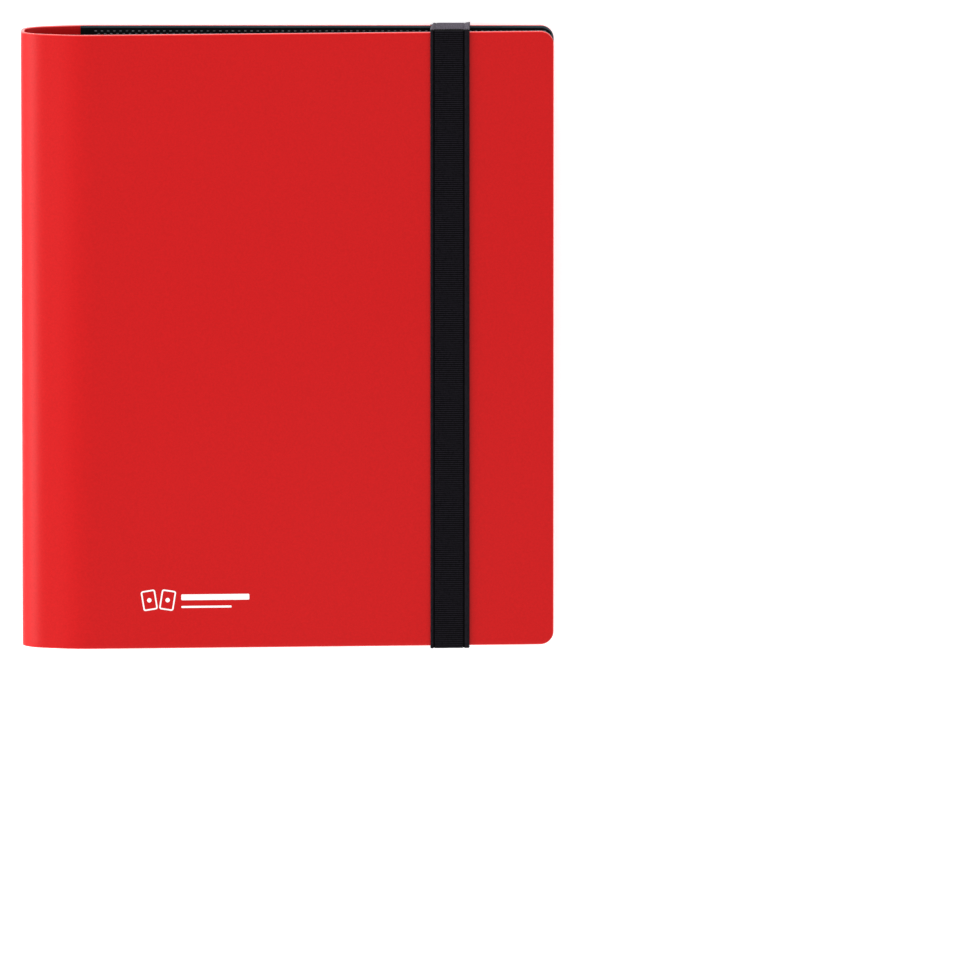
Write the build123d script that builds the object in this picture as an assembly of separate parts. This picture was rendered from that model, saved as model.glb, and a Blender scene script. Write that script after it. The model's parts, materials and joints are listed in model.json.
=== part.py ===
from build123d import *
import math
import os

# A pocket album for trading cards, closed and lying on its back cover.
# X runs from the spine (-X) to the fore edge (+X), Y along the spine, Z up.
# The origin is under the middle of the closed album, on the surface it lies on.

# --- cover: one plastic sheet, creased into two panels and five spine strips ---
COVER_WIDTH = 179.5         # spine's outermost line to the fore edge, closed
COVER_HEIGHT = 210.0
SHEET = 1.2                 # thickness of the cover sheet
CORNER_RADIUS = 4.5         # the panels' two fore-edge corners
FRONT_SLOPE = 3.2           # degrees that the front panel falls towards the fore edge
CREASE_GAP = 0.05           # each side of a crease, measured along the sheet
STRIP_NAMES = ["spine_back_flank", "spine_back_corner", "spine_centre",
               "spine_front_corner", "spine_front_flank"]
STRIP_LENGTHS = [16.0, 4.79, 8.0, 4.79, 16.0]
STRIP_ANGLES = [12.0, 50.0, 90.0, 130.0, 168.0]     # degrees turned from the back panel
CENTRE_STRIP = 2            # the strip that carries the leaves

# --- liners inside both panels ---
LINER = 0.3
LINER_START = 20.0          # from the spine's outermost line
LINER_MARGIN = 1.0          # to the cover's top, bottom and fore edges
LINER_RADIUS = 3.5

# --- leaves ---
LEAF_COUNT = 20
LEAF_WIDTH = 152.0
LEAF_HEIGHT = 202.0
LEAF_RADIUS = 3.0
LEAF_SEAM = 23.5            # spine's outermost line to the leaves' seam edge
BACKING = 0.16
FILM = 0.10                 # film with the shallow pocket behind it
POCKET_DEPTH = 0.04
SEAM_CLEARANCE = 0.57       # outer leaves' middle to the liners, at the seam edge
FORE_CLEARANCE = 0.40       # the same at the fore edge
FILM_MARGIN = 2.0           # film's outer edge to the leaf's side edge
SIDE_WELD = 4.2             # welded band of film beside a pocket
SLOT = 3.6                  # loading slot between the two films
POCKET_HEIGHT = 89.5        # takes a card 88.9 high
MIDDLE_WELD = 10.0          # welded band between the upper and lower pocket
FILM_END = 1.5              # film's end to the leaf's top or bottom edge

# --- binding bar and the webs that join the leaves to it ---
BAR = 0.6
BAR_WIDTH = 6.9
WEB = 0.12
WEB_SPREAD = 6.2            # first web to last web, at the bar

# --- elastic strap ---
STRAP_WIDTH = 13.2
STRAP = 0.8
STRAP_FROM_FORE_EDGE = 35.0
STRAP_CLEARANCE = 0.05      # to the front cover
EDGE_CLEARANCE = 0.15       # to the covers' top and bottom edges
STRAP_BEND = 1.0            # how far the front run folds down past the cover's face
RECESS = 0.82               # groove for the strap in the back cover's outer face
SLOT_LINE = 91.0            # slot's far side, from the middle of the cover
SLOT_HEIGHT = 0.9
SIDE_PLAY = 0.3
TAB_LENGTH = 10.0
TAB = 0.28

half_height = COVER_HEIGHT / 2
slope = math.radians(FRONT_SLOPE)


def section_points():
    """The creases along the sheet's outer face, from the back panel to the front panel."""
    x, z = 0.0, 0.0
    points = [(x, z)]
    for length, angle in zip(STRIP_LENGTHS, STRIP_ANGLES):
        turned = math.radians(angle)
        x, z = x - length * math.cos(turned), z + length * math.sin(turned)
        points.append((x, z))
    outermost = min(p[0] for p in points)
    return [(p[0] - outermost, p[1]) for p in points]


CREASES = section_points()
BACK_CREASE, FRONT_CREASE = CREASES[0], CREASES[-1]
TURNS = [b - a for a, b in zip([0.0] + STRIP_ANGLES, STRIP_ANGLES + [180 + FRONT_SLOPE])]


def along_front(distance, inward=0.0):
    """A point on the front panel: distance from its crease, and depth under its outer face."""
    x, z = FRONT_CREASE
    return (x + distance * math.cos(slope) - inward * math.sin(slope),
            z - distance * math.sin(slope) - inward * math.cos(slope))


def front_height(x, inward=0.0):
    """Height of the surface that lies inward of the front panel's outer face."""
    start = along_front(0, inward)
    return start[1] - (x - start[0]) * math.tan(slope)


def prism(outline, low, high):
    """A solid from an outline of (x, z) points, between two values of y."""
    wire = Wire.make_polygon([(x, low, z) for x, z in outline], close=True)
    return Solid.extrude(Face(wire), Vector(0, high - low, 0))


def block(x0, x1, y0, y1, z0, z1):
    return prism([(x0, z0), (x1, z0), (x1, z1), (x0, z1)], y0, y1)


def round_fore_corners(plate, radius):
    """Round the two corners of a thin plate that are furthest from the spine."""
    box = plate.bounding_box()
    corners = [e for e in plate.edges()
               if abs(e.tangent_at(0.5).Y) < 0.1 and e.length < 2
               and e.center().X > box.max.X - 1 and abs(e.center().Y) > box.max.Y - 0.01]
    return plate.fillet(radius, corners)


def mitre(turn):
    """How much shorter the sheet's inner face is than its outer face at a crease."""
    return SHEET * math.tan(math.radians(turn / 2))


# ---------------------------------------------------------------- cover sheet

def back_cover_panel():
    x = BACK_CREASE[0] + CREASE_GAP
    outline = [(x, 0), (COVER_WIDTH, 0), (COVER_WIDTH, SHEET), (x + mitre(TURNS[0]), SHEET)]
    panel = round_fore_corners(prism(outline, -half_height, half_height), CORNER_RADIUS)
    strap_x = COVER_WIDTH - STRAP_FROM_FORE_EDGE
    half = STRAP_WIDTH / 2 + SIDE_PLAY
    for side in (-1, 1):
        inner, outer = SLOT_LINE - SLOT_HEIGHT - SIDE_PLAY, half_height + 1
        groove = block(strap_x - half, strap_x + half, *sorted((side * inner, side * outer)), -1, RECESS)
        through = block(strap_x - half, strap_x + half,
                        *sorted((side * inner, side * SLOT_LINE)), -1, SHEET + 1)
        panel = panel - groove - through
    return panel


def front_cover_panel():
    length = (COVER_WIDTH - FRONT_CREASE[0]) / math.cos(slope)
    start = CREASE_GAP
    outline = [along_front(start), along_front(length), along_front(length, SHEET),
               along_front(start + mitre(TURNS[-1]), SHEET)]
    return round_fore_corners(prism(outline, -half_height, half_height), CORNER_RADIUS)


def spine_strip(number):
    """One strip of the spine, mitred at both creases so that it closes without overlap."""
    (x0, z0), (x1, z1) = CREASES[number], CREASES[number + 1]
    length = math.hypot(x1 - x0, z1 - z0)
    ux, uz = (x1 - x0) / length, (z1 - z0) / length
    nx, nz = uz, -ux

    def point(distance, inward):
        return x0 + ux * distance + nx * inward, z0 + uz * distance + nz * inward

    first, last = CREASE_GAP, length - CREASE_GAP
    outline = [point(first, 0), point(last, 0),
               point(last - mitre(TURNS[number + 1]), SHEET), point(first + mitre(TURNS[number]), SHEET)]
    return prism(outline, -half_height, half_height)


# --------------------------------------------------------------------- liners

def back_liner():
    half = half_height - LINER_MARGIN
    plate = block(LINER_START, COVER_WIDTH - LINER_MARGIN, -half, half, SHEET, SHEET + LINER)
    plate = round_fore_corners(plate, LINER_RADIUS)
    strap_x = COVER_WIDTH - STRAP_FROM_FORE_EDGE
    half_window = STRAP_WIDTH / 2 + 2 * SIDE_PLAY
    for side in (-1, 1):
        ends = sorted((side * (SLOT_LINE - TAB_LENGTH - 2), side * (SLOT_LINE + 1)))
        plate = plate - block(strap_x - half_window, strap_x + half_window, *ends, SHEET - 1, SHEET + 1)
    return plate


def front_liner():
    first = (LINER_START - FRONT_CREASE[0]) / math.cos(slope) + 1
    last = (COVER_WIDTH - FRONT_CREASE[0]) / math.cos(slope) - LINER_MARGIN
    outline = [along_front(first, SHEET), along_front(last, SHEET),
               along_front(last, SHEET + LINER), along_front(first, SHEET + LINER)]
    half = half_height - LINER_MARGIN
    return round_fore_corners(prism(outline, -half, half), LINER_RADIUS)


# --------------------------------------------------------------------- leaves

def leaf_seam_height(number):
    """Height of a leaf's middle at its seam edge; leaf 0 is nearest the back cover."""
    low = SHEET + LINER + SEAM_CLEARANCE
    high = front_height(LEAF_SEAM, SHEET + LINER) - SEAM_CLEARANCE
    return low + (high - low) * number / (LEAF_COUNT - 1)


def leaf_place(number):
    """Where a leaf lies: its seam edge, and its fall towards the fore edge."""
    low = SHEET + LINER + FORE_CLEARANCE
    high = front_height(LEAF_SEAM + LEAF_WIDTH, SHEET + LINER) - FORE_CLEARANCE
    fore = low + (high - low) * number / (LEAF_COUNT - 1)
    seam = leaf_seam_height(number)
    fall = math.degrees(math.atan2(seam - fore, LEAF_WIDTH))
    return Location((LEAF_SEAM, 0, seam), (0, fall, 0))


def leaf_backing():
    half = LEAF_HEIGHT / 2
    return round_fore_corners(block(0, LEAF_WIDTH, -half, half, -BACKING / 2, BACKING / 2), LEAF_RADIUS)


def film_strip():
    """The film over two pockets, one above the other, beside the loading slot."""
    film_x, slot_x = FILM_MARGIN, (LEAF_WIDTH - SLOT) / 2
    half = LEAF_HEIGHT / 2 - FILM_END
    base = BACKING / 2
    strip = block(film_x, slot_x, -half, half, base, base + FILM)
    for side in (-1, 1):
        ends = sorted((side * MIDDLE_WELD / 2, side * (MIDDLE_WELD / 2 + POCKET_HEIGHT)))
        strip = strip - block(film_x + SIDE_WELD, slot_x + 1, *ends, base - 1, base + POCKET_DEPTH)
    return strip


def leaf_pockets():
    """Both films of both faces: each is the same strip, turned about the leaf's middle."""
    strip = film_strip()
    middle = Location((LEAF_WIDTH / 2, 0, 0))
    turns = [Location((0, 0, 0), t) for t in ((0, 0, 0), (0, 0, 180), (180, 0, 0), (0, 180, 0))]
    return [middle * turn * middle.inverse() * strip for turn in turns]


# -------------------------------------------------------------------- binding

def binding_bar():
    middle = (CREASES[CENTRE_STRIP][1] + CREASES[CENTRE_STRIP + 1][1]) / 2
    half = LEAF_HEIGHT / 2
    return block(SHEET, SHEET + BAR, -half, half, middle - BAR_WIDTH / 2, middle + BAR_WIDTH / 2)


def web(number):
    """The flexible margin of one leaf, from the binding bar to the leaf's seam edge."""
    middle = (CREASES[CENTRE_STRIP][1] + CREASES[CENTRE_STRIP + 1][1]) / 2
    at_bar = middle + WEB_SPREAD * (number / (LEAF_COUNT - 1) - 0.5)
    at_leaf = leaf_seam_height(number)
    near, far, half = SHEET + BAR, LEAF_SEAM - 2 * CREASE_GAP, WEB / 2
    outline = [(near, at_bar - half), (far, at_leaf - half), (far, at_leaf + half), (near, at_bar + half)]
    return prism(outline, -LEAF_HEIGHT / 2, LEAF_HEIGHT / 2)


# ---------------------------------------------------------------------- strap

def strap_sides():
    middle = COVER_WIDTH - STRAP_FROM_FORE_EDGE
    return middle - STRAP_WIDTH / 2, middle + STRAP_WIDTH / 2


def strap_layer(low, high, y0, y1):
    """A piece of strap parallel to the front cover, between two heights over its outer face."""
    x0, x1 = strap_sides()
    outline = [(x0, front_height(x0, -low)), (x1, front_height(x1, -low)),
               (x1, front_height(x1, -high)), (x0, front_height(x0, -high))]
    return prism(outline, y0, y1)


def strap_front_run():
    """The run over the front cover, folded down over the cover's top and bottom edges."""
    inner = half_height + EDGE_CLEARANCE
    top = STRAP_CLEARANCE + STRAP
    run = strap_layer(STRAP_CLEARANCE, top, -inner - STRAP, inner + STRAP)
    run = run + strap_layer(-STRAP_BEND, top, inner, inner + STRAP)
    return run + strap_layer(-STRAP_BEND, top, -inner - STRAP, -inner)


def strap_leg(side):
    """The stretch of strap across the album's thickness, at its top or bottom edge."""
    inner = half_height + EDGE_CLEARANCE
    x0, x1 = strap_sides()
    low = RECESS - STRAP
    outline = [(x0, low), (x1, low), (x1, front_height(x1, STRAP_BEND)), (x0, front_height(x0, STRAP_BEND))]
    return prism(outline, *sorted((side * inner, side * (inner + STRAP))))


def strap_anchor(side):
    """A strap end: flush in the back cover's groove, through its slot, and a flat tab inside."""
    x0, x1 = strap_sides()
    low = RECESS - STRAP
    inner, edge = SLOT_LINE - SLOT_HEIGHT, half_height + EDGE_CLEARANCE
    top = SHEET + TAB
    groove = block(x0, x1, *sorted((side * inner, side * edge)), low, RECESS)
    riser = block(x0, x1, *sorted((side * inner, side * (SLOT_LINE - SIDE_PLAY))), low, top)
    tab = block(x0, x1, *sorted((side * (SLOT_LINE - TAB_LENGTH), side * (SLOT_LINE - SIDE_PLAY))), SHEET, top)
    return groove + riser + tab


# --------------------------------------------------------------------- export

def save(name, shape):
    """Move a sub-part so that the origin is under the album's middle, and write it."""
    solids = shape if isinstance(shape, list) else [shape]
    placed = [Location((-COVER_WIDTH / 2, 0, 0)) * solid for solid in solids]
    whole = placed[0] if len(placed) == 1 else Compound(children=placed)
    whole.label = name
    export_step(whole, f"parts/{name}.step")


def main():
    os.makedirs("parts", exist_ok=True)
    save("back_cover_panel", back_cover_panel())
    save("front_cover_panel", front_cover_panel())
    for number, name in enumerate(STRIP_NAMES):
        save(name, spine_strip(number))
    save("back_liner", back_liner())
    save("front_liner", front_liner())

    backing, pockets = leaf_backing(), leaf_pockets()
    for number in range(LEAF_COUNT):
        place = leaf_place(number)
        save(f"leaf_{number + 1:02d}_backing", place * backing)
        save(f"leaf_{number + 1:02d}_pockets", [place * film for film in pockets])

    save("binding_bar", binding_bar())
    half_count = LEAF_COUNT // 2
    save("back_leaf_webs", [web(number) for number in range(half_count)])
    save("front_leaf_webs", [web(number) for number in range(half_count, LEAF_COUNT)])

    save("strap_front_run", strap_front_run())
    for side, end in ((1, "top"), (-1, "bottom")):
        save(f"strap_{end}_leg", strap_leg(side))
        save(f"strap_{end}_anchor", strap_anchor(side))


main()
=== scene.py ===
import bpy, bmesh, json, math
import numpy as np
from mathutils import Matrix, Vector


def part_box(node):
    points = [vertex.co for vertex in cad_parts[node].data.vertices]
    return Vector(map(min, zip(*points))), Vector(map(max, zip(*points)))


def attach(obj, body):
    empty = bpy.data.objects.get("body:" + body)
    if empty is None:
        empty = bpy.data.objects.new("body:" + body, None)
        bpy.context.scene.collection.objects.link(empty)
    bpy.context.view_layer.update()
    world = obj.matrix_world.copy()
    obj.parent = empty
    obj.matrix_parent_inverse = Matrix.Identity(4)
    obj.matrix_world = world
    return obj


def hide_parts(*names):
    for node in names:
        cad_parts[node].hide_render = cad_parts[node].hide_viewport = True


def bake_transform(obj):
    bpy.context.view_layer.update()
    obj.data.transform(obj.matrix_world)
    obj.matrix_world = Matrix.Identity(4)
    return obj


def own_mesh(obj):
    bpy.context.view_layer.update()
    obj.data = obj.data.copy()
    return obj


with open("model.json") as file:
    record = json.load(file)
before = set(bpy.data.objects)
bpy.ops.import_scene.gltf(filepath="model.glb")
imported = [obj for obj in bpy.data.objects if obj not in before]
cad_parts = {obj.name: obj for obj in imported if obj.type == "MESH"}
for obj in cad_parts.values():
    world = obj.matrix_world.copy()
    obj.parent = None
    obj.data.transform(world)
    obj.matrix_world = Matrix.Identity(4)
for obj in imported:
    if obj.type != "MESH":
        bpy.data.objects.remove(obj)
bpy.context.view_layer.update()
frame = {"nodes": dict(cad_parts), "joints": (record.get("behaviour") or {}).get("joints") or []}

# Lengths here are in millimetres unless a name says otherwise. A section point is (x, z) in the shared frame.
MM = 0.001
JOINTS = {j["name"]: j for j in frame["joints"]}


def box_mm(node):
    low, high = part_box(node)
    return np.array(low) / MM, np.array(high) / MM


def crease(joint):
    """The crease that a joint turns about, as a section point."""
    x, _, z = JOINTS[joint]["pos_m"]
    return np.array([x, z]) / MM


# ------------------------------------------------------------ camera and light
LENS = 1000.0                   # nearly no perspective, which fits the photographed outline
AIM = Vector((0.0649, -0.0489, 0.011))
DISTANCE = 9.0
TILT = math.radians(10.48)

scene = bpy.context.scene
camera_data = bpy.data.cameras.new("camera")
camera_data.lens = LENS
camera_data.sensor_width = 36.0
camera_data.clip_start, camera_data.clip_end = 0.5, 40.0
camera = bpy.data.objects.new("camera", camera_data)
scene.collection.objects.link(camera)
look_back = Vector((0.0, math.sin(TILT), math.cos(TILT)))
camera.location = AIM + look_back * DISTANCE
up = (Vector((0, 1, 0)) - look_back * look_back.y).normalized()
right = up.cross(look_back)
camera.rotation_euler = Matrix((right, up, look_back)).transposed().to_euler()
scene.camera = camera
scene.view_settings.view_transform = "Standard"

# A white studio that is dimmer straight overhead, where the camera hangs.
world = bpy.data.worlds.new("studio")
world.use_nodes = True
sky = world.node_tree
way = sky.nodes.new("ShaderNodeTexCoord")
parts = sky.nodes.new("ShaderNodeSeparateXYZ")
level = sky.nodes.new("ShaderNodeMapRange")
level.inputs["To Min"].default_value, level.inputs["To Max"].default_value = 1.20, 0.48
sky.links.new(way.outputs["Generated"], parts.inputs["Vector"])
sky.links.new(parts.outputs["Z"], level.inputs["Value"])
sky.links.new(level.outputs["Result"], sky.nodes["Background"].inputs["Strength"])
sky.nodes["Background"].inputs["Color"].default_value = (1, 1, 1, 1)
scene.world = world


def area_light(name, place, target, size, power, glare=True):
    data = bpy.data.lights.new(name, "AREA")
    data.shape = "SQUARE"
    data.size = size
    data.energy = power
    lamp = bpy.data.objects.new(name, data)
    lamp.location = place
    away = Vector(place) - Vector(target)
    lamp.rotation_euler = away.to_track_quat("Z", "Y").to_euler()
    lamp.visible_camera = False
    lamp.visible_glossy = glare
    scene.collection.objects.link(lamp)


area_light("left_light", (-1.3, -0.1, 0.8), (-0.05, 0.0, 0.0), 0.8, 9)
area_light("low_left_light", (-1.3, 0.0, 0.34), (-0.08, 0.0, 0.01), 0.6, 10, glare=False)
area_light("front_light", (0.2, -1.5, 1.3), (0.02, -0.02, 0.0), 1.2, 7)
area_light("right_light", (1.5, 0.1, 1.2), (0.0, 0.0, 0.0), 1.1, 4)
area_light("back_light", (-0.2, 1.4, 0.45), (-0.08, 0.1, 0.01), 0.6, 6, glare=False)


# ------------------------------------------------------------------- materials
class Paint:
    """A node material with a few helpers."""

    def __init__(self, name):
        self.material = bpy.data.materials.new(name)
        self.material.use_nodes = True
        self.tree = self.material.node_tree
        self.shader = self.tree.nodes["Principled BSDF"]
        self.place = self.node("ShaderNodeTexCoord").outputs["Object"]

    def node(self, kind, **values):
        made = self.tree.nodes.new(kind)
        for key, value in values.items():
            if key in made.inputs:
                made.inputs[key].default_value = value
            else:
                setattr(made, key, value)
        return made

    def link(self, start, end):
        self.tree.links.new(start, end)

    def noise(self, scale, detail=2.0, stretch=None, rough=0.5):
        made = self.node("ShaderNodeTexNoise", Scale=scale, Detail=detail, Roughness=rough)
        place = self.place
        if stretch:
            mapping = self.node("ShaderNodeMapping", Scale=stretch)
            self.link(place, mapping.inputs["Vector"])
            place = mapping.outputs["Vector"]
        self.link(place, made.inputs["Vector"])
        return made.outputs["Fac"]

    def ramp(self, value, stops):
        made = self.node("ShaderNodeValToRGB")
        points = made.color_ramp.elements
        while len(points) < len(stops):
            points.new(0.5)
        for point, (position, colour) in zip(points, stops):
            point.position = position
            point.color = (*colour, 1.0) if isinstance(colour, tuple) else (colour,) * 3 + (1.0,)
        self.link(value, made.inputs["Fac"])
        return made.outputs["Color"]

    def colour(self, value, stops):
        self.link(self.ramp(value, stops), self.shader.inputs["Base Color"])

    def roughness(self, value, stops):
        self.link(self.ramp(value, stops), self.shader.inputs["Roughness"])

    def bump(self, *layers):
        """Each layer is (height, strength, distance in metres)."""
        normal = None
        for height, strength, distance in layers:
            made = self.node("ShaderNodeBump", Strength=strength, Distance=distance)
            self.link(height, made.inputs["Height"])
            if normal:
                self.link(normal, made.inputs["Normal"])
            normal = made.outputs["Normal"]
        self.link(normal, self.shader.inputs["Normal"])

    def set(self, **values):
        for key, value in values.items():
            self.shader.inputs[key.replace("_", " ")].default_value = value
        return self


def cover_red():
    """Frosted polypropylene: a fine grain, slightly uneven in colour and gloss."""
    paint = Paint("cover_red")
    grain = paint.noise(1500, 3, rough=0.6)
    cloud = paint.noise(9, 2)
    paint.colour(grain, [(0.30, (0.480, 0.0010, 0.0018)), (0.70, (0.550, 0.0020, 0.0030))])
    paint.roughness(cloud, [(0.3, 0.40), (0.7, 0.47)])
    paint.bump((grain, 0.35, 0.00006), (paint.noise(320, 2), 0.08, 0.00012))
    return paint.set(Specular_IOR_Level=0.27).material


def cover_edge_highlight():
    """The same sheet where it was cut: smoother, and painted lighter as a highlight along the cut edge."""
    paint = Paint("cover_edge_highlight")
    streak = paint.noise(240, 2, stretch=(1.0, 0.08, 1.0))
    paint.colour(streak, [(0.3, (0.80, 0.035, 0.032)), (0.7, (0.90, 0.060, 0.055))])
    paint.roughness(streak, [(0.3, 0.24), (0.7, 0.34)])
    return paint.set(Specular_IOR_Level=0.6).material


def liner_black():
    paint = Paint("liner_black")
    grain = paint.noise(1300, 3, rough=0.6)
    paint.colour(paint.noise(14, 2), [(0.3, (0.0016, 0.0018, 0.0022)), (0.7, (0.0026, 0.0029, 0.0034))])
    paint.roughness(grain, [(0.3, 0.42), (0.7, 0.56)])
    paint.bump((grain, 0.4, 0.00008))
    return paint.set(Specular_IOR_Level=0.16).material


def liner_edge_highlight():
    """The lining sheet's cut edge and a narrow band beside it, painted teal-grey as a highlight."""
    paint = Paint("liner_edge_highlight")
    streak = paint.noise(260, 2, stretch=(0.1, 1.0, 1.0))
    paint.colour(streak, [(0.3, (0.026, 0.046, 0.058)), (0.7, (0.044, 0.070, 0.086))])
    paint.roughness(streak, [(0.3, 0.22), (0.7, 0.34)])
    return paint.set(Specular_IOR_Level=0.6).material


def weld_mark_glint():
    """The pressed marks of the lining's weld, painted light grey as glints."""
    paint = Paint("weld_mark_glint")
    shine = paint.noise(800, 2)
    paint.colour(shine, [(0.3, (0.10, 0.105, 0.115)), (0.7, (0.19, 0.195, 0.21))])
    paint.roughness(shine, [(0.3, 0.2), (0.7, 0.32)])
    return paint.set(Specular_IOR_Level=0.6).material


def leaf_black():
    paint = Paint("leaf_black")
    grain = paint.noise(900, 3, rough=0.6)
    paint.colour(paint.noise(18, 2), [(0.3, (0.0050, 0.0064, 0.0056)), (0.7, (0.0078, 0.0096, 0.0084))])
    paint.roughness(grain, [(0.3, 0.34), (0.7, 0.50)])
    paint.bump((grain, 0.3, 0.00006), (paint.noise(60, 2, stretch=(1.0, 0.15, 1.0)), 0.12, 0.0004))
    return paint.set(Specular_IOR_Level=0.40).material


def film(name, dark, light, smooth, specular):
    """Clear film over the black leaf, lightly rippled as thin film is."""
    paint = Paint(name)
    ripple = paint.noise(38, 2, stretch=(1.0, 0.45, 1.0))
    fine = paint.noise(420, 2)
    paint.colour(ripple, [(0.3, dark), (0.7, light)])
    paint.roughness(fine, [(0.3, smooth), (0.7, smooth + 0.06)])
    paint.bump((ripple, 0.10, 0.0004), (fine, 0.05, 0.00004))
    return paint.set(Specular_IOR_Level=specular).material


def elastic(name, direction, period, slant, low, high):
    """Woven elastic. Its stripes, `period` metres apart, are the ribs' crowns or, at the sides, the yarns."""
    paint = Paint(name)
    yarn = paint.noise(900, 3, stretch=(2.2, 0.9, 1.0), rough=0.65)
    lint = paint.noise(2600, 2)
    lean = paint.node("ShaderNodeMapping", Rotation=(0.0, slant, 0.0))
    paint.link(paint.place, lean.inputs["Vector"])
    stripes = paint.node("ShaderNodeTexWave", Scale=math.pi / (10 * period), bands_direction=direction)
    paint.link(lean.outputs["Vector"], stripes.inputs["Vector"])
    both = paint.node("ShaderNodeMath", operation="MULTIPLY")
    paint.link(stripes.outputs["Fac"], both.inputs[0])
    paint.link(yarn, both.inputs[1])
    paint.colour(both.outputs["Value"], [(0.12, low), (0.44, high)])
    paint.roughness(lint, [(0.3, 0.72), (0.7, 0.9)])
    paint.bump((yarn, 0.55, 0.00012), (lint, 0.3, 0.00005))
    return paint.set(Specular_IOR_Level=0.05, Sheen_Weight=0.14, Sheen_Roughness=0.3).material


def printed_white():
    paint = Paint("printed_white")
    wear = paint.noise(700, 3, rough=0.7)
    paint.colour(wear, [(0.28, (0.80, 0.74, 0.73)), (0.42, (0.90, 0.90, 0.89))])
    paint.roughness(wear, [(0.3, 0.45), (0.7, 0.6)])
    return paint.material


def pale_floor():
    paint = Paint("pale_floor")
    paint.colour(paint.noise(3, 2), [(0.3, (0.90, 0.90, 0.90)), (0.7, (0.93, 0.93, 0.93))])
    paint.set(Roughness=0.85, Specular_IOR_Level=0.1, Emission_Color=(1, 1, 1, 1), Emission_Strength=0.45)
    return paint.material


RED, RED_EDGE_HIGHLIGHT = cover_red(), cover_edge_highlight()
LINING, LINING_EDGE_HIGHLIGHT = liner_black(), liner_edge_highlight()
LEAF = leaf_black()
WELD_MARK_GLINT = weld_mark_glint()
FILM_WELD = film("film_weld", (0.0046, 0.0062, 0.0052), (0.0070, 0.0090, 0.0076), 0.26, 0.40)
FILM_FACE = film("film_face", (0.0098, 0.0140, 0.0112), (0.0125, 0.0170, 0.0140), 0.20, 0.32)
# The edge paint is a painted highlight: the raised card outline and the film's weld marks are drawn lighter
# than the film.
FILM_EDGE_GLINT = film("film_edge_glint", (0.030, 0.038, 0.034), (0.042, 0.052, 0.047), 0.16, 0.60)
RIB = 0.7
YARN = 0.78
YARN_SLANT = 0.35
ELASTIC = elastic("strap_elastic", "Y", RIB * MM, 0.0,
                  (0.0008, 0.0007, 0.0011), (0.0120, 0.0105, 0.0145))
ELASTIC_EDGE = elastic("strap_selvage", "Y", RIB * MM / 2, 0.0,
                       (0.0016, 0.0014, 0.0022), (0.0190, 0.0165, 0.0220))
# The grooves beside the ribbed middle are painted near black: painted shade in the recesses.
ELASTIC_GROOVE_SHADE = elastic("strap_groove_shade", "Y", RIB * MM, 0.0,
                         (0.0004, 0.0004, 0.0006), (0.0016, 0.0014, 0.0020))
# The legs are the same elastic as the run, painted much lighter: painted light on the legs.
ELASTIC_SIDE_LIT = elastic("strap_side_lit", "X", YARN * MM, YARN_SLANT,
                       (0.016, 0.014, 0.019), (0.160, 0.138, 0.176))
WHITE = printed_white()


# ---------------------------------------------------------------- mesh helpers
def mesh_object(name, points, faces, materials, indices=None, sharp=35.0):
    """A mesh object from points in millimetres. Edges sharper than `sharp` degrees stay crisp."""
    mesh = bpy.data.meshes.new(name)
    mesh.from_pydata((np.asarray(points, float) * MM).tolist(), [], [list(f) for f in faces])
    for material in materials:
        mesh.materials.append(material)
    if indices is not None:
        mesh.polygons.foreach_set("material_index", np.asarray(indices, np.int32))
    made = bpy.data.objects.new(name, mesh)
    scene.collection.objects.link(made)
    settle(made, sharp)
    return made


def settle(made, sharp=35.0):
    """Normals outward, faces smooth, sharp edges marked."""
    work = bmesh.new()
    work.from_mesh(made.data)
    bmesh.ops.recalc_face_normals(work, faces=work.faces)
    limit = math.radians(sharp)
    for face in work.faces:
        face.smooth = True
    for edge in work.edges:
        edge.smooth = len(edge.link_faces) == 2 and edge.calc_face_angle(0.0) < limit
    work.to_mesh(made.data)
    work.free()
    made.data.update()


def even(first, last, step):
    """Stations from first to last, about `step` apart."""
    return np.linspace(first, last, max(2, int(round(abs(last - first) / step)) + 1))


def stations(*runs):
    """Joined runs of (first, last, step)."""
    return np.unique(np.round(np.concatenate([even(*run) for run in runs]), 5))


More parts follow.
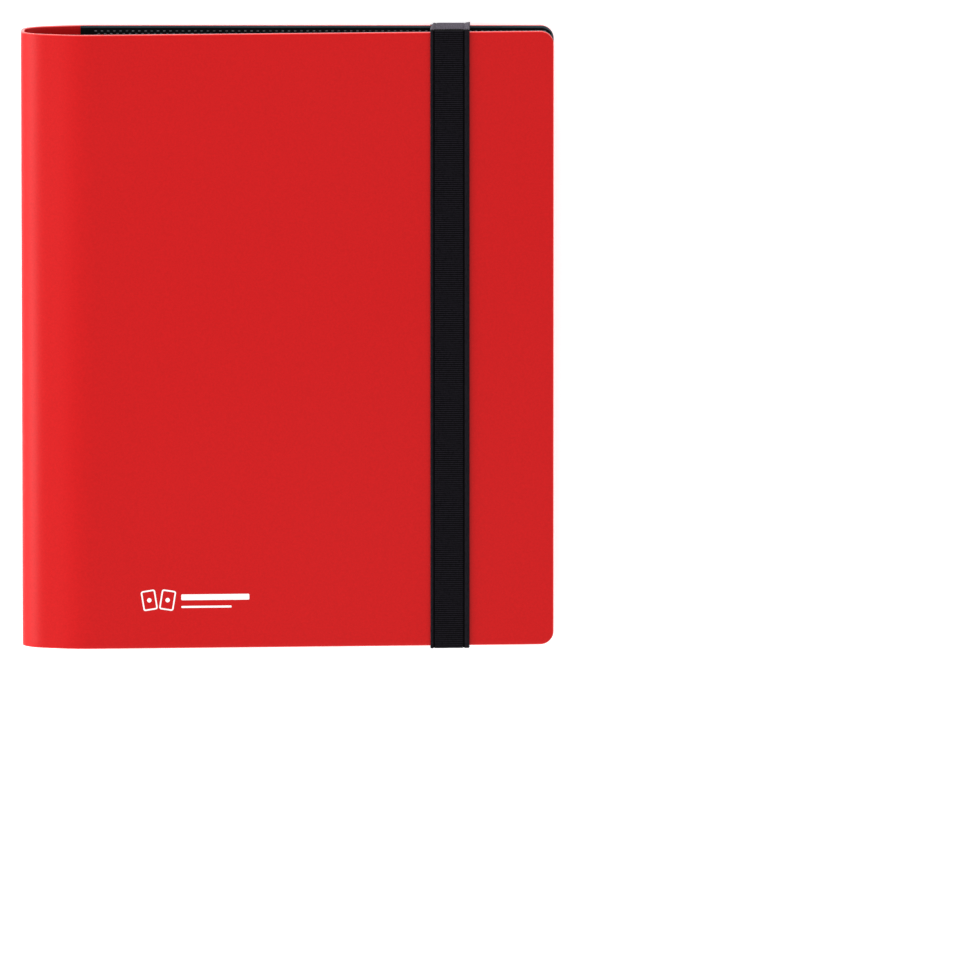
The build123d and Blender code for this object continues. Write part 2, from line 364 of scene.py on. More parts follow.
def plate(rows, half, low, high, rim, radius=0.0, fore=0, band=0.0, columns=11):
    """A closed flat sheet as (points, faces, indices), in (s, y, o): s along it, o through its thickness
    from low to high. Its long sides, and its end at `fore` (-1 first row, 1 last row, 0 neither), have a
    rounded rim and corners of the given radius. Faces on the rim, or within `band` of it, have index 1."""
    rim_in = np.array([0.0, 0.134 * rim, 0.5 * rim])
    band = max(band, rim)
    lines = np.append(rim_in, rim) if band > rim else rim_in
    if fore:
        edge = rows[0] if fore < 0 else rows[-1]
        rows = np.unique(np.concatenate([rows, edge - fore * np.append(lines, band)]))
    if fore and radius:
        edge = rows[0] if fore < 0 else rows[-1]
        arc = radius * (1 - np.cos(np.radians(np.arange(10, 91, 10))))
        rows = np.unique(np.round(np.concatenate([rows, edge - fore * arc]), 5))
    from_fore = np.abs(rows - (rows[0] if fore < 0 else rows[-1])) if fore else np.full(len(rows), 1e6)
    inside = np.clip(radius - from_fore, 0, None)
    width = half - (radius - np.sqrt(np.clip(radius**2 - inside**2, 0, None)))
    base = half - radius - band - 0.4
    fixed = np.linspace(-base, base, columns)
    moving = np.array([0.25, 0.5, 0.75, 1.0])
    grid_y = []
    for w in width:
        outer_y = np.concatenate([base + moving * (w - band - base), (w - lines)[::-1]])
        grid_y.append(np.concatenate([-outer_y[::-1], fixed, outer_y]))
    grid_y = np.array(grid_y)
    grid_s = np.repeat(rows[:, None], grid_y.shape[1], 1)
    u = np.repeat(from_fore[:, None], grid_y.shape[1], 1)
    v = half - np.abs(grid_y)
    corner = (u < radius) & (v < radius)
    distance = np.where(corner, radius - np.hypot(radius - u, radius - v), np.minimum(u, v))
    flat_distance = distance.ravel()
    distance = np.clip(distance, 0, rim)
    drop = rim - np.sqrt(np.clip(rim**2 - (rim - distance) ** 2, 0, None))
    count, across = grid_y.shape
    outer = np.stack([grid_s, grid_y, low + drop], -1).reshape(-1, 3)
    inner = np.stack([grid_s, grid_y, high - drop], -1).reshape(-1, 3)
    total = len(outer)
    faces, indices = [], []

    def add(face, index):
        faces.append(face)
        indices.append(index)

    for i in range(count - 1):
        for j in range(across - 1):
            a, b = i * across + j, (i + 1) * across + j
            on_rim = int(max(flat_distance[k] for k in (a, a + 1, b, b + 1)) < band * 1.01)
            add((a, a + 1, b + 1, b), on_rim)
            add((total + a, total + b, total + b + 1, total + a + 1), on_rim)
        for j in (0, across - 1):
            a, b = i * across + j, (i + 1) * across + j
            add((a, b, total + b, total + a), 1)
    for i, is_fore in ((0, fore < 0), (count - 1, fore > 0)):
        for j in range(across - 1):
            a = i * across + j
            add((a, a + 1, total + a + 1, total + a), int(is_fore))
    return np.concatenate([outer, inner]), faces, indices


def cut(made, boxes):
    """Cut boxes, given as (low corner, high corner), out of a mesh object that is still flat."""
    for low, high in boxes:
        low, high = np.array(low, float), np.array(high, float)
        corners = [[(low, high)[i][0], (low, high)[j][1], (low, high)[k][2]]
                   for i in (0, 1) for j in (0, 1) for k in (0, 1)]
        sides = [(0, 1, 3, 2), (4, 6, 7, 5), (0, 4, 5, 1), (2, 3, 7, 6), (0, 2, 6, 4), (1, 5, 7, 3)]
        tool = mesh_object("tool", corners, sides, [])
        knife = made.modifiers.new("cut", "BOOLEAN")
        knife.operation, knife.solver, knife.object = "DIFFERENCE", "EXACT", tool
        bpy.context.view_layer.update()
        graph = bpy.context.evaluated_depsgraph_get()
        result = bpy.data.meshes.new_from_object(made.evaluated_get(graph))
        made.modifiers.clear()
        made.data = result
        bpy.data.objects.remove(tool)


def remap(made, move):
    """Move each vertex: `move` takes and returns an (n, 3) array in millimetres."""
    points = np.zeros(len(made.data.vertices) * 3, np.float32)
    made.data.vertices.foreach_get("co", points)
    moved = move(points.reshape(-1, 3).astype(float) / MM) * MM
    made.data.vertices.foreach_set("co", moved.astype(np.float32).ravel())
    made.data.update()
    settle(made)


def turned(points, degrees):
    """(x, z) points turned clockwise, from +Z towards +X."""
    angle = np.radians(degrees)
    c, s = np.cos(angle), np.sin(angle)
    x, z = points[..., 0], points[..., 1]
    return np.stack([x * c + z * s, -x * s + z * c], -1)


class Bend:
    """One crease of the cover. `at` is its place along the opened, flat sheet, from the back panel's crease
    towards the front cover. A point near it is (s, o): s along the sheet from the crease, o inward from the
    outer face."""

    def __init__(self, joint, at, before, turn, reach_before, reach_after, bodies):
        self.crease, self.at, self.turn, self.bodies = crease(joint), at, turn, bodies
        self.along = turned(np.array([-1.0, 0.0]), before)
        self.inward = turned(np.array([0.0, 1.0]), before)
        self.start = self.crease - self.along * reach_before
        self.end = self.crease + turned(self.along, turn) * reach_after

    def rest(self, s, o):
        x, z, angle = (np.interp(s + self.at, CURVE[0], CURVE[k]) for k in (1, 2, 3))
        return np.stack([x + o * np.sin(angle), z + o * np.cos(angle)], -1)

    def blend(self, made):
        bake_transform(made)


# ------------------------------------------------------------------ cover sheet
SHEET, RIM = 1.2, 0.26
COVER_HALF = box_mm("back_cover_panel")[1][1]
CORNER = 4.5
SLOPE = 3.2
SLOPE_ANGLE = math.radians(SLOPE)
SPINE_INSET = 0.2               # the spine's face lies this far inside the CAD's
NUDGE = 1e-4                    # step for the curve's slopes
TURN_PANEL, TURN_FLANK, TURN_CORNER = 12.0, 38.0, 40.0
FLANK, CORNER_STRIP, CENTRE_STRIP = 16.0, 4.79, 8.0
BEFORE_FRONT_CORNER = TURN_PANEL + TURN_FLANK + TURN_CORNER + TURN_CORNER

# Where each crease lies along the flat sheet, how far the sheet turns there (degrees), and how far to each
# side of it the turn is spread.
CREASE_AT = np.cumsum([0.0, FLANK, CORNER_STRIP, CENTRE_STRIP, CORNER_STRIP, FLANK])
CREASE_TURN = [TURN_PANEL, TURN_FLANK, TURN_CORNER, TURN_CORNER, TURN_FLANK, TURN_PANEL + SLOPE]
CREASE_SPREAD = [9.0, 7.0, 4.5, 2.6, 7.0, 9.0]

BACK_BEND = Bend("back_panel_crease", CREASE_AT[0], 0, TURN_PANEL, 9.0, 7.5,
                 ("back_cover", "spine_back_flank"))
BACK_FLANK_BEND = Bend("back_flank_crease", CREASE_AT[1], TURN_PANEL, TURN_FLANK, 6.5, 1.9,
                       ("spine_back_flank", "spine_back_corner"))
BACK_CORNER_BEND = Bend("back_corner_crease", CREASE_AT[2], TURN_PANEL + TURN_FLANK, TURN_CORNER, 1.9, 3.5,
                        ("spine_back_corner", "spine_centre"))
FRONT_FLANK_BEND = Bend("front_flank_crease", CREASE_AT[4], BEFORE_FRONT_CORNER, TURN_FLANK, 1.9, 6.5,
                        ("spine_front_corner", "spine_front_flank"))
FRONT_BEND = Bend("front_panel_crease", CREASE_AT[5], BEFORE_FRONT_CORNER + TURN_FLANK, TURN_PANEL + SLOPE,
                  7.5, 9.0, ("spine_front_flank", "front_cover"))


def closed_curve(scales):
    """The closed sheet's outer face as (place on the flat sheet, x, z, angle), with its back flank, spine
    and front flank lengthened by `scales`."""
    at = np.concatenate([[-220.0], np.arange(-20.0, 75.0, 0.02), [280.0]])
    angle = np.zeros(len(at))
    for place, turn, spread in zip(CREASE_AT, CREASE_TURN, CREASE_SPREAD):
        t = np.clip((at - place) / spread, -1, 1)
        angle += math.radians(turn) * (0.5 + t / 2 + np.sin(np.pi * t) / (2 * np.pi))
    middle, centre = (angle[1:] + angle[:-1]) / 2, (at[1:] + at[:-1]) / 2
    parts = [centre < 0, centre < CREASE_AT[1], centre < CREASE_AT[4], centre < CREASE_AT[5]]
    step = np.diff(at) * np.select(parts, [1.0, *scales], 1.0)
    x = BACK_BEND.crease[0] - at[0] - np.concatenate([[0.0], np.cumsum(step * np.cos(middle))])
    z = np.concatenate([[0.0], np.cumsum(step * np.sin(middle))])
    return np.stack([at, x, z, angle])


def curve_error(scales):
    """How far the curve misses the front cover's plane and crease, and the spine's own place."""
    made = closed_curve(scales)
    goal = FRONT_BEND.crease + turned(FRONT_BEND.along, FRONT_BEND.turn) * (made[0, -1] - CREASE_AT[5])
    spine = BACK_CORNER_BEND.crease[0] + SPINE_INSET
    return np.array([made[1, -1] - goal[0], made[2, -1] - goal[1], made[1].min() - spine])


scales = np.ones(3)
for _ in range(6):
    error = curve_error(scales)
    changes = np.eye(3) * NUDGE
    slopes = np.stack([(curve_error(scales + change) - error) / NUDGE for change in changes], -1)
    scales = scales - np.linalg.solve(slopes, error)
CURVE = closed_curve(scales)


# The crease before the front corner strip has no joint. A thin tongue reaches past it into the spine piece and
# is hidden there while the album is closed.
TONGUE_REACH = 0.8
TONGUE_START = -CORNER_STRIP - 0.02
TONGUE_THIN, TONGUE_SHORT = 0.75, 0.998


def cover_piece(name, bend, runs, nodes, fore=0, cuts=(), tongue=False):
    points, faces, indices = plate(stations(*runs), COVER_HALF, 0.0, SHEET, RIM, CORNER, fore)
    # Rim faces take the edge paint: a painted highlight along the cut edges.
    made = mesh_object(name, points, faces, [RED, RED_EDGE_HIGHLIGHT], indices)
    cut(made, cuts)

    def move(p):
        on_tongue = (p[:, 0] < TONGUE_START) & tongue
        thin = np.where(on_tongue, TONGUE_THIN, 1.0)
        place = bend.rest(p[:, 0], SHEET / 2 + (p[:, 2] - SHEET / 2) * thin)
        return np.stack([place[:, 0], p[:, 1] * np.where(on_tongue, TONGUE_SHORT, 1.0), place[:, 1]], -1)

    remap(made, move)
    bend.blend(made)
    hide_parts(*nodes)
    return made


anchor_low, anchor_high = box_mm("strap_top_anchor")
STRAP_X = (anchor_low[0] + anchor_high[0]) / 2
STRAP_HALF = (anchor_high[0] - anchor_low[0]) / 2
STRAP = 0.8
PLAY = 0.3
SLOT_FAR = anchor_high[1] - 14.15    # the slot's far side, from the middle of the cover
SLOT_WIDTH = 1.2
RECESS = anchor_low[2] + STRAP

panel_fore = BACK_BEND.crease[0] - box_mm("back_cover_panel")[1][0]
strap_s = BACK_BEND.crease[0] - STRAP_X
front_fore = (box_mm("front_cover_panel")[1][0] - FRONT_BEND.crease[0]) / math.cos(SLOPE_ANGLE)


def strap_cut(side, near, far, play, low, high):
    """A box to cut where the strap passes, from `near` to `far` on one side of the middle."""
    y0, y1 = sorted((side * near, side * far))
    return (strap_s - STRAP_HALF - play, y0, low), (strap_s + STRAP_HALF + play, y1, high)


grooves = []
for side in (-1, 1):
    grooves.append(strap_cut(side, SLOT_FAR - SLOT_WIDTH, COVER_HALF + 1, PLAY, -1, RECESS))
    grooves.append(strap_cut(side, SLOT_FAR - SLOT_WIDTH, SLOT_FAR, PLAY, -1, SHEET + 1))

half_flank, half_corner = FLANK / 2, CORNER_STRIP / 2
cover_piece("cover_back", BACK_BEND, [(panel_fore, -12, 4), (-12, half_flank, 0.5)],
            ["back_cover_panel", "spine_back_flank"], fore=-1, cuts=grooves)
cover_piece("cover_back_flank", BACK_FLANK_BEND, [(-half_flank, half_corner, 0.3)], ["spine_back_corner"])
cover_piece("cover_spine", BACK_CORNER_BEND, [(-half_corner, CENTRE_STRIP, 0.3)], ["spine_centre"])
cover_piece("cover_front_corner", FRONT_FLANK_BEND,
            [(-CORNER_STRIP - TONGUE_REACH, -CORNER_STRIP - 0.05, 0.25), (-CORNER_STRIP, half_flank, 0.3)],
            ["spine_front_corner", "spine_front_flank"], tongue=True)
cover_piece("cover_front", FRONT_BEND, [(-half_flank, 14, 0.5), (14, front_fore, 4)],
            ["front_cover_panel"], fore=1)


# ----------------------------------------------------------------------- liners
# The lining's faces within 0.75 mm of its edge carry the painted edge highlight.
LINER, LINER_RIM, LINER_HIGHLIGHT_BAND, LINER_CORNER = 0.3, 0.1, 0.75, 4.2
LINER_GAP = 0.03                # how far the lining stays inside the cover's edge
LINER_HALF = COVER_HALF - LINER_GAP
LINER_START = 20.0              # from the spine's outermost line
DOT_PITCH = 2.1
FRONT_CREASE_IN = FRONT_BEND.crease[0] - BACK_CORNER_BEND.crease[0]


def dots(places, length, width, low, high):
    """Small pressed weld marks, four-sided and pointed, as (points, faces). A place is (s, y, along_s)."""
    points, faces = [], []
    for s, y, along in places:
        a, b = (length / 2, width / 2) if along else (width / 2, length / 2)
        k = len(points)
        points += [(s - a, y - b, low), (s + a, y - b, low), (s + a, y + b, low), (s - a, y + b, low)]
        points.append((s, y, high))
        faces.append((k + 3, k + 2, k + 1, k))
        faces += [(k + i, k + (i + 1) % 4, k + 4) for i in range(4)]
    return points, faces


def dot_row(first, last, across, along_s, shift=0.0):
    """Places for one row of weld marks."""
    count = int((last - first - shift) / DOT_PITCH)
    places = [first + shift + DOT_PITCH * (k + 0.5) for k in range(count)]
    return [(p, across, True) if along_s else (across, p, False) for p in places]


def liner_piece(name, bend, first, last, fore, node, cuts=()):
    runs = [(first, last, 3)]
    near = [r for r in (-11.0, 13.0) if first < r < last]
    if near:
        fine = (near[0], last) if fore < 0 else (first, near[0])
        rest = (first, near[0]) if fore < 0 else (near[0], last)
        runs = [(*fine, 0.6), (*rest, 4)]
    points, faces, indices = plate(stations(*runs), LINER_HALF, SHEET, SHEET + LINER, LINER_RIM,
                                   LINER_CORNER, fore, LINER_HIGHLIGHT_BAND)
    made = mesh_object(name, points, faces, [LINING, LINING_EDGE_HIGHLIGHT], indices)
    cut(made, cuts)
    top = SHEET + LINER
    places = []
    for side in (-1, 1):
        places += dot_row(first + 2, last - 4, side * (LINER_HALF - 1.8), True)
        places += dot_row(first + 2, last - 4, side * (LINER_HALF - 2.7), True, DOT_PITCH / 2)
    fore_s = (first + 1.6) if fore < 0 else (last - 1.6)
    places += dot_row(-LINER_HALF + 4, LINER_HALF - 4, fore_s, False)
    # The weld marks get the light grey paint: painted glints.
    extra, more = dots(places, 1.15, 0.5, top - 0.03, top + 0.07)
    weld = mesh_object(name + "_welds", extra, more, [WELD_MARK_GLINT], sharp=60)

    def move(p):
        place = bend.rest(p[:, 0], p[:, 2])
        return np.stack([place[:, 0], p[:, 1], place[:, 1]], -1)

    for piece in (made, weld):
        remap(piece, move)
        bend.blend(piece)
    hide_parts(node)


windows = [strap_cut(side, SLOT_FAR - 12, SLOT_FAR + 1, 2 * PLAY, 0, 3) for side in (-1, 1)]
liner_piece("lining_back", BACK_BEND, panel_fore + LINER_GAP, BACK_BEND.crease[0] - box_mm("back_liner")[0][0],
            -1, "back_liner", windows)
liner_first = (LINER_START - FRONT_CREASE_IN) / math.cos(SLOPE_ANGLE) + 1
liner_piece("lining_front", FRONT_BEND, liner_first, front_fore - LINER_GAP, 1, "front_liner")


# ----------------------------------------------------------------------- leaves
LEAF_COUNT = 20
LEAF_LENGTH, LEAF_HALF, LEAF_CORNER = 152.0, 101.0, 3.0
BACKING, WEB = 0.16, 0.12
bar_low, bar_high = box_mm("binding_bar")
BAR_MIDDLE = (bar_low[2] + bar_high[2]) / 2
WEB_SPREAD = 6.2
WEB_ROWS = 22


def leaf_place(name):
    """Seam point and fall (radians) of a leaf, from its backing's box."""
    low, high = box_mm(name + "_backing")
    fall = math.asin((high[2] - low[2] - BACKING) / LEAF_LENGTH)
    return np.array([low[0] + BACKING / 2 * math.sin(fall), high[2] - BACKING / 2]), fall


def leaf_path(seam, fall, at_bar):
    """The leaf's middle line as (x, z) points from the binding bar to its fore edge, and its thickness."""
    begin = np.array([bar_high[0] - 0.2, at_bar])
    chord = np.linalg.norm(seam - begin)
    lean = (seam - begin) / chord
    leave = np.array([1.0, 0.35 * lean[1]])
    arrive = np.array([math.cos(fall), -math.sin(fall)])
    t = np.linspace(0, 1, WEB_ROWS)[:, None]
    h00, h10 = 2 * t**3 - 3 * t**2 + 1, t**3 - 2 * t**2 + t
    h01, h11 = -2 * t**3 + 3 * t**2, t**3 - t**2
    web = h00 * begin + h10 * leave * chord + h01 * seam + h11 * arrive * chord
    reach = stations((0, 6, 1.5), (6, LEAF_LENGTH - LEAF_CORNER, 18),
                     (LEAF_LENGTH - LEAF_CORNER, LEAF_LENGTH, 0.6))[1:]
    flat = seam + reach[:, None] * arrive
    line = np.concatenate([web, flat])
    thick = np.concatenate([np.linspace(WEB, BACKING, WEB_ROWS), np.full(len(reach), BACKING)])
    inside = np.clip(LEAF_CORNER - (LEAF_LENGTH - np.concatenate([np.zeros(WEB_ROWS), reach])), 0, None)
    half = LEAF_HALF - (LEAF_CORNER - np.sqrt(np.clip(LEAF_CORNER**2 - inside**2, 0, None)))
    return line, thick, half


def leaf_mesh(number):
    name = f"leaf_{number + 1:02d}"
    seam, fall = leaf_place(name)
    at_bar = BAR_MIDDLE + WEB_SPREAD * (number / (LEAF_COUNT - 1) - 0.5)
    line, thick, half = leaf_path(seam, fall, at_bar)
    tangent = np.gradient(line, axis=0)
    tangent /= np.linalg.norm(tangent, axis=1)[:, None]
    normal = np.stack([-tangent[:, 1], tangent[:, 0]], -1)
    shares = np.linspace(-1, 1, 7)
    points, faces = [], []
    for side in (1, -1):
        for p, n, w, h in zip(line, normal, thick, half):
            q = p + side * n * w / 2
            points += [(q[0], h * share, q[1]) for share in shares]
    rows, across = len(line), len(shares)
    total = rows * across
    for i in range(rows - 1):
        for j in range(across - 1):
            a, b = i * across + j, (i + 1) * across + j
            faces += [(a, a + 1, b + 1, b), (total + a, total + b, total + b + 1, total + a + 1)]
        for j in (0, across - 1):
            a, b = i * across + j, (i + 1) * across + j
            faces.append((a, b, total + b, total + a))
    for i in (0, rows - 1):
        for j in range(across - 1):
            a = i * across + j
            faces.append((a, a + 1, total + a + 1, total + a))
    made = mesh_object(name + "_leaf", points, faces, [LEAF])
    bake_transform(made)
    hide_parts(name + "_backing")
    return made, seam, fall


# Films: one mesh that every leaf shares, in the leaf's own frame: x from its seam edge, z from its middle.
FILM_BASE = BACKING / 2
CELL_X = (2.0, 74.2)
CELL_Y = (0.0, 99.5)
CARD_CENTRE = (40.2, 49.75)
CARD_HALF = (31.75, 44.1)       # what shows of a 63.5 x 88.9 card


def ring(x0, x1, y0, y1, radius, height, corner_steps=4, side_steps=5):
    """A rounded rectangle as points, always the same number of them, from its lower right side round."""
    points = []
    corners = [(x1 - radius, y1 - radius, 0), (x0 + radius, y1 - radius, 90),
               (x0 + radius, y0 + radius, 180), (x1 - radius, y0 + radius, 270)]
    for index, (cx, cy, begin) in enumerate(corners):
        for step in range(corner_steps + 1):
            angle = math.radians(begin + 90 * step / corner_steps)
            points.append((cx + radius * math.cos(angle), cy + radius * math.sin(angle), height))
        nx, ny, following = corners[(index + 1) % 4]
        angle = math.radians(following)
        last = np.array(points[-1])
        goal = np.array((nx + radius * math.cos(angle), ny + radius * math.sin(angle), height))
        points += [tuple(last + (goal - last) * k / side_steps) for k in range(1, side_steps)]
    return points


def pocket_cell():
    """One pocket's film, closed: (points, faces, indices). Index 0 weld, 1 face, 2 raised edge painted lighter
    as a highlight, 3 weld marks painted lighter as glints.
    """
    cx, cy = CARD_CENTRE

    def card(grow, radius, height):
        half_x, half_y = CARD_HALF[0] + grow, CARD_HALF[1] + grow
        return ring(cx - half_x, cx + half_x, cy - half_y, cy + half_y, radius, height)

    rings = [
        (ring(*CELL_X, *CELL_Y, 0.3, FILM_BASE), 0),
        (ring(*CELL_X, *CELL_Y, 0.3, 0.135), 0),
        (ring(CELL_X[0] + 0.3, CELL_X[1] - 0.1, CELL_Y[0] + 0.05, CELL_Y[1] - 0.3, 0.6, 0.150), 0),
        (ring(5.9, 74.0, 4.6, 94.9, 1.6, 0.150), 0),
        (ring(6.5, 73.8, 4.85, 94.65, 1.8, 0.175), 0),
        (card(0.35, 3.6, 0.178), 2),
        (card(0.0, 3.2, 0.228), 2),
        (card(-0.35, 2.9, 0.224), 2),
        (card(-0.95, 2.5, 0.190), 1),
        (card(-9.0, 2.0, 0.196), 1),
    ]
    points, faces, indices = [], [], []
    size = len(rings[0][0])
    for made, _ in rings:
        points += made
    for k, (_, index) in enumerate(rings[:-1]):
        paint = rings[k + 1][1] if rings[k + 1][1] != 2 or index == 2 else 2
        for i in range(size):
            a, b = k * size + i, k * size + (i + 1) % size
            faces.append((a, b, b + size, a + size))
            indices.append(paint)
    last = (len(rings) - 1) * size
    faces += [tuple(range(last, last + size)), tuple(reversed(range(size)))]
    indices += [1, 0]
    places = []
    for first, last, rows, along_s in ((2.5, 97.5, (3.1, 4.9), False), (6.0, 73.5, (96.2, 97.9), True),
                                       (6.0, 73.5, (1.3, 3.3), True)):
        for k, across in enumerate(rows):
            places += dot_row(first, last, across, along_s, k * DOT_PITCH / 2)
    extra, more = dots(places, 1.25, 0.6, 0.14, 0.215)
    base = len(points)
    points += extra
    faces += [tuple(base + v for v in face) for face in more]
    # The weld marks take the lighter edge paint, as painted glints.
    indices += [3] * len(more)
    return np.array(points), faces, indices


def film_mesh():
    points, faces, indices = pocket_cell()
    all_points, all_faces, all_indices = [], [], []
    for face_side in (1, -1):
        for x_side in (1, -1):
            for y_side in (1, -1):
                moved = points.copy()
                if x_side < 0:
                    moved[:, 0] = LEAF_LENGTH - moved[:, 0]
                moved[:, 1] *= y_side
                moved[:, 2] *= face_side
                base = sum(len(p) for p in all_points)
                all_points.append(moved)
                all_faces += [tuple(base + v for v in face) for face in faces]
                all_indices += indices
    paints = [FILM_WELD, FILM_FACE, FILM_EDGE_GLINT, FILM_EDGE_GLINT]
    return mesh_object("film", np.concatenate(all_points), all_faces, paints, all_indices, sharp=50)


first_film = film_mesh()
for number in range(LEAF_COUNT):
    name = f"leaf_{number + 1:02d}"
    leaf, seam, fall = leaf_mesh(number)
    if number == 0:
        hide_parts("back_leaf_webs")
    if number == LEAF_COUNT - 1:
        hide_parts("front_leaf_webs")
    films = first_film if number == 0 else bpy.data.objects.new("film", first_film.data)
    if number:
        scene.collection.objects.link(films)
    films.name = name + "_films"
    films.location = (seam[0] * MM, 0, seam[1] * MM)
    films.rotation_euler = (0, fall, 0)
    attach(films, name)
    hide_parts(name + "_pockets")

bar = frame["nodes"]["binding_bar"]
bar.data.materials.clear()
bar.data.materials.append(LEAF)


# ------------------------------------------------------------------------ strap
BAND_FROM, BAND_TO = 1.2 - STRAP_HALF, STRAP_HALF - 1.9    # the ribbed middle, between two selvages
GROOVE_DEPTH = 0.2


def front_z(x):
    """Height of the front cover's outer face at x."""
    return FRONT_BEND.crease[1] - (x - FRONT_BEND.crease[0]) * math.tan(SLOPE_ANGLE)


def strap_section():
    """Stations across the strap's width, from -half to half, close together at its edges and grooves."""
    beside = (-0.28, -0.1, 0.1, 0.3)
    fixed = [side * (STRAP_HALF - inset) for side in (-1, 1) for inset in (0, 0.12, 0.35)]
    fixed += [BAND_FROM + d for d in beside] + [BAND_TO - d for d in beside]
    return np.unique(np.round(np.concatenate([fixed, np.linspace(BAND_FROM + 0.8, BAND_TO - 0.8, 7)]), 4))


ACROSS = strap_section()


def strap_height(across, along):
    """Thickness of the outer side above the strap's middle, at a place across and along it."""
    middle = (across > BAND_FROM) & (across < BAND_TO)
    wave = 0.5 - 0.5 * np.cos(2 * np.pi * along / RIB)
    fine = 0.5 - 0.5 * np.cos(2 * np.pi * along / (RIB / 2))
    rib = np.where(middle, 0.22 * (1 - wave), 0.08 * (1 - fine))
    groove = np.minimum(np.abs(across - BAND_FROM), np.abs(across - BAND_TO))
    groove = GROOVE_DEPTH * np.clip(1 - (groove - 0.08) / 0.2, 0, 1)
    edge = STRAP_HALF - np.abs(across)
    round_off = 0.28 * np.clip(1 - edge / 0.35, 0, 1) ** 2
    return STRAP / 2 - rib * (edge > 0.1) - groove - round_off


def strap_mesh(name, stops, frame_at, middle_paint, edge_paint, groove_paint):
    """A ribbed strap. `frame_at(stop)` gives, for each station across, a middle point and the outward
    normal there, as two (n, 3) arrays."""
    points, faces = [], []
    n = len(ACROSS)
    for stop in stops:
        middle, outward = frame_at(stop)
        top = strap_height(ACROSS, np.full(n, stop))
        upper = middle + outward * top[:, None]
        lower = middle - outward * (np.minimum(top, STRAP / 2 - 0.06) * 0.98)[:, None]
        points += upper.tolist() + lower[::-1].tolist()
    loop = 2 * n
    centre = (ACROSS[1:] + ACROSS[:-1]) / 2
    lines = np.array([BAND_FROM, BAND_TO])
    paints = np.where((centre < BAND_FROM) | (centre > BAND_TO), 1, 0)
    # Faces near the grooves take the third paint, which on the run is painted groove shade.
    paints[np.abs(centre[:, None] - lines).min(1) < 0.25] = 2
    indices = []
    for i in range(len(stops) - 1):
        for j in range(loop):
            a, b = i * loop + j, i * loop + (j + 1) % loop
            faces.append((a, b, b + loop, a + loop))
            indices.append(1 if j >= n - 1 else int(paints[j]))
    for i in (0, len(stops) - 1):
        for j in range(n - 1):
            a, b = i * loop + j, i * loop + loop - 1 - j
            faces.append((a, a + 1, b - 1, b))
    indices += [1] * (len(faces) - len(indices))
    return mesh_object(name, points, faces, [middle_paint, edge_paint, groove_paint], indices, sharp=70)


RUN_HALF = box_mm("strap_front_run")[1][1]
LIP = 1.0
CLEAR = 0.05
TURN_RADIUS, LEG_TURN_RADIUS = 0.75, 0.7
# At the back cover a leg is narrower by this share and shifted, and its fore edge lifts away from the album.
LEG_NARROWING, LEG_SHIFT = 0.05, 0.55
LEG_LIFT, LIFT_FROM, LIFT_OVER = 0.5, 3.8, 2.8
MARKS_AHEAD = 1000              # ribs, so that a leg's marks are all positive and its ribs meet the run's
ALONG_X = np.array([math.cos(SLOPE_ANGLE), 0.0, -math.sin(SLOPE_ANGLE)])
OUTWARD = np.array([math.sin(SLOPE_ANGLE), 0.0, math.cos(SLOPE_ANGLE)])
STRAP_CENTRE = np.array([STRAP_X, 0.0, front_z(STRAP_X)])


def run_path():
    """The strap's middle line over the front cover as (y, out, angle): angle 0 faces out of the cover."""
    out = CLEAR + STRAP / 2
    far = RUN_HALF - STRAP / 2
    radius = TURN_RADIUS - STRAP / 2
    flat = even(0, far - radius, RIB / 4)
    path = [(y, out, 0.0) for y in flat]
    for k in range(1, 7):
        angle = math.pi / 2 * k / 6
        path.append((far - radius + radius * math.sin(angle), out - radius + radius * math.cos(angle), angle))
    path += [(far, o, math.pi / 2) for o in np.arange(out - radius - 0.2, -LIP, -0.2)]
    path.append((far, -LIP, math.pi / 2))
    left = [(-y, o, -a) for y, o, a in path[:0:-1]]
    return left + path


def lengths(path):
    """Distance along a path of (y, out, ...) points."""
    spots = np.array([p[:2] for p in path])
    return np.concatenate([[0], np.cumsum(np.linalg.norm(np.diff(spots, axis=0), axis=1))])


path = run_path()
marks = lengths(path)
marks -= marks[-1] / 2
places = dict(zip(marks.tolist(), path))


def run_frame(stop):
    y, out, angle = places[stop]
    middle = STRAP_CENTRE + ACROSS[:, None] * ALONG_X + OUTWARD * out
    middle[:, 1] = y
    outward = OUTWARD * math.cos(angle) + np.array([0, 1.0, 0]) * math.sin(angle)
    return middle, np.repeat(outward[None], len(ACROSS), 0)


run = strap_mesh("strap_run", marks.tolist(), run_frame, ELASTIC, ELASTIC_EDGE, ELASTIC_GROOVE_SHADE)
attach(run, "strap")
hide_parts("strap_front_run")


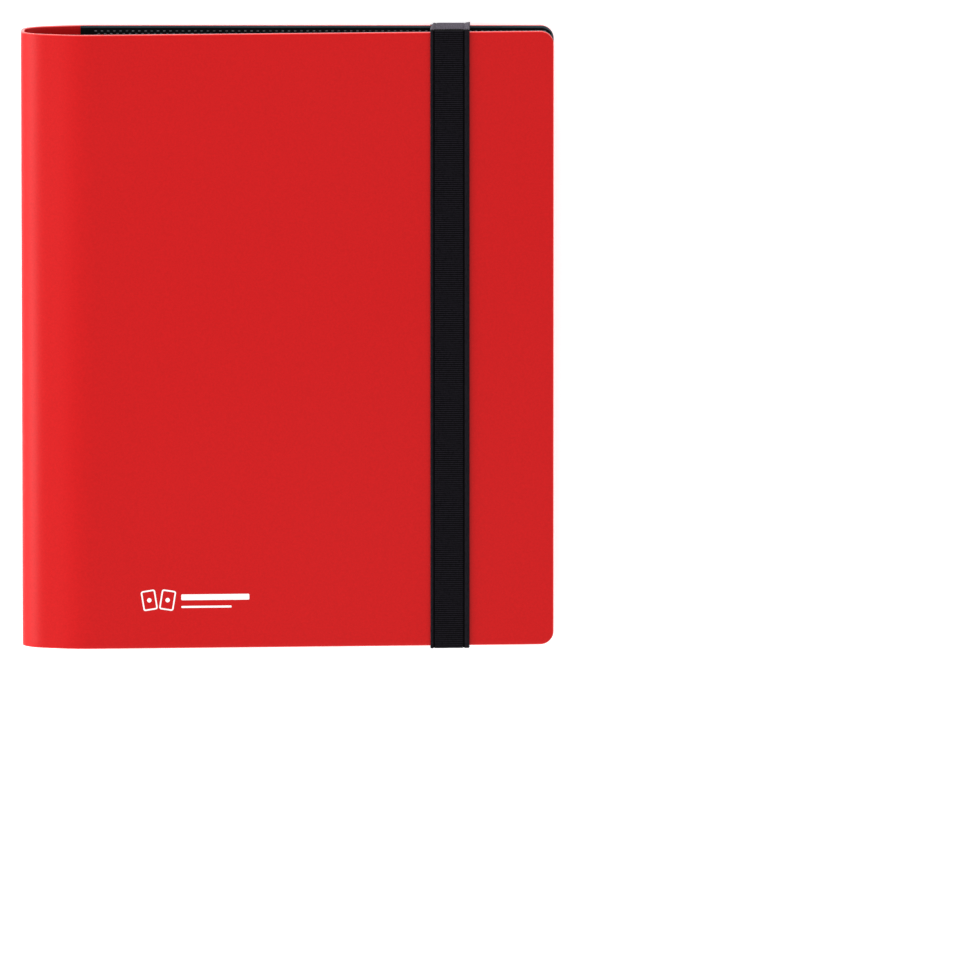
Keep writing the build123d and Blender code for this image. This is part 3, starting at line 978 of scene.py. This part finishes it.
def strap_leg(side, end):
    """The strap across the album's thickness. At the back cover it narrows a little and one edge lifts."""
    face_y = RUN_HALF - STRAP / 2
    low_mid = RECESS - STRAP / 2
    radius = LEG_TURN_RADIUS
    turn = [(face_y - radius + radius * math.sin(a), low_mid + radius - radius * math.cos(a), math.pi - a)
            for a in np.radians(np.arange(0, 90, 15))]
    begin = [(y, low_mid, math.pi) for y in even(face_y - radius - 0.6, face_y - radius, 0.2)[:-1]]
    rise_from = low_mid + radius
    top = front_z(STRAP_X) - LIP
    rise = [(face_y, z, math.pi / 2) for z in even(rise_from, top, RIB / 4)]
    path = begin + turn + rise
    marks = lengths(path)
    marks = marks - marks[-1] + MARKS_AHEAD * RIB
    spots = dict(zip(marks.tolist(), path))

    def leg_frame(stop):
        y, z, angle = spots[stop]
        share = np.clip((z - rise_from) / (top - rise_from), 0, 1)
        away = (1 - share) ** 2
        narrow = 1 - LEG_NARROWING * away
        x = STRAP_X + ACROSS * narrow * math.cos(SLOPE_ANGLE * share) + LEG_SHIFT * away
        level = z - ACROSS * math.sin(SLOPE_ANGLE) * share
        lift = LEG_LIFT * away * np.clip((ACROSS - LIFT_FROM) / LIFT_OVER, 0, 1) ** 2 * (share > 0)
        middle = np.stack([x, side * (y + lift), level], -1)
        outward = np.array([0, side * math.sin(angle), math.cos(angle)])
        return middle, np.repeat(outward[None], len(ACROSS), 0)

    # Both legs take the lighter side paint: painted light.
    leg = strap_mesh(f"strap_{end}_side", marks.tolist(), leg_frame, ELASTIC_SIDE_LIT, ELASTIC_SIDE_LIT, ELASTIC_SIDE_LIT)
    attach(leg, "back_cover")
    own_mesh(leg)
    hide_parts(f"strap_{end}_leg")


for side, end in ((1, "top"), (-1, "bottom")):
    strap_leg(side, end)
    node = frame["nodes"][f"strap_{end}_anchor"]
    node.data.materials.clear()
    node.data.materials.append(ELASTIC)


# ----------------------------------------------------------------- generic mark
MARK_START = 40.0               # from the spine's outermost line
MARK_Y = -88.4
CARD_LEAN = 9.0


def mark_shape(outer, inner=None):
    """A thin printed shape on the front cover from loops of (s, y): (points, faces)."""
    low, high = 0.02, -0.035
    n = len(outer)
    if inner is None:
        points = [(s, y, low) for s, y in outer] + [(s, y, high) for s, y in outer]
        faces = [tuple(reversed(range(n))), tuple(range(n, 2 * n))]
        faces += [(i, (i + 1) % n, n + (i + 1) % n, n + i) for i in range(n)]
        return points, faces
    points = [(s, y, o) for o in (low, high) for loop in (outer, inner) for s, y in loop]
    faces = []
    for i in range(n):
        j = (i + 1) % n
        faces += [(i, j, n + j, n + i), (2 * n + i, 3 * n + i, 3 * n + j, 2 * n + j),
                  (i, 2 * n + i, 2 * n + j, j), (n + i, n + j, 3 * n + j, 3 * n + i)]
    return points, faces


def loop_at(cx, cy, width, height, radius, lean=0.0):
    points = ring(-width / 2, width / 2, -height / 2, height / 2, radius, 0.0)
    c, s = math.cos(math.radians(lean)), math.sin(math.radians(lean))
    return [(cx + x * c - y * s, cy + x * s + y * c) for x, y, _ in points]


def printed_mark():
    """Two card outlines with a dot in each, and two plain rules."""
    base = MARK_START - FRONT_CREASE_IN
    parts = []
    for cx, lean in ((base + 3.1, CARD_LEAN), (base + 9.3, -CARD_LEAN)):
        outline = loop_at(cx, MARK_Y, 4.9, 6.9, 0.75, lean)
        parts.append(mark_shape(outline, loop_at(cx, MARK_Y, 3.9, 5.9, 0.35, lean)))
        parts.append(mark_shape(loop_at(cx, MARK_Y, 1.5, 1.5, 0.7, lean + 45)))
    parts.append(mark_shape(loop_at(base + 25.4, MARK_Y + 0.9, 23.0, 2.0, 0.35)))
    parts.append(mark_shape(loop_at(base + 22.4, MARK_Y - 2.4, 17.0, 0.7, 0.3)))
    points, faces = [], []
    for some, more in parts:
        k = len(points)
        points += some
        faces += [tuple(k + v for v in face) for face in more]
    made = mesh_object("printed_mark", points, faces, [WHITE])
    along, inward = turned(FRONT_BEND.along, FRONT_BEND.turn), turned(FRONT_BEND.inward, FRONT_BEND.turn)

    def move(p):
        place = FRONT_BEND.crease + p[:, :1] * along + p[:, 2:] * inward
        return np.stack([place[:, 0], p[:, 1], place[:, 1]], -1)

    remap(made, move)
    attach(made, "front_cover")


printed_mark()


# ------------------------------------------------------------------------ floor
FLOOR_HALF, FLOOR_Z = 4000, -0.05
floor_corners = [(FLOOR_HALF * i, FLOOR_HALF * j, FLOOR_Z) for i, j in ((-1, -1), (1, -1), (1, 1), (-1, 1))]
floor = mesh_object("floor", floor_corners, [(0, 1, 2, 3)], [pale_floor()])
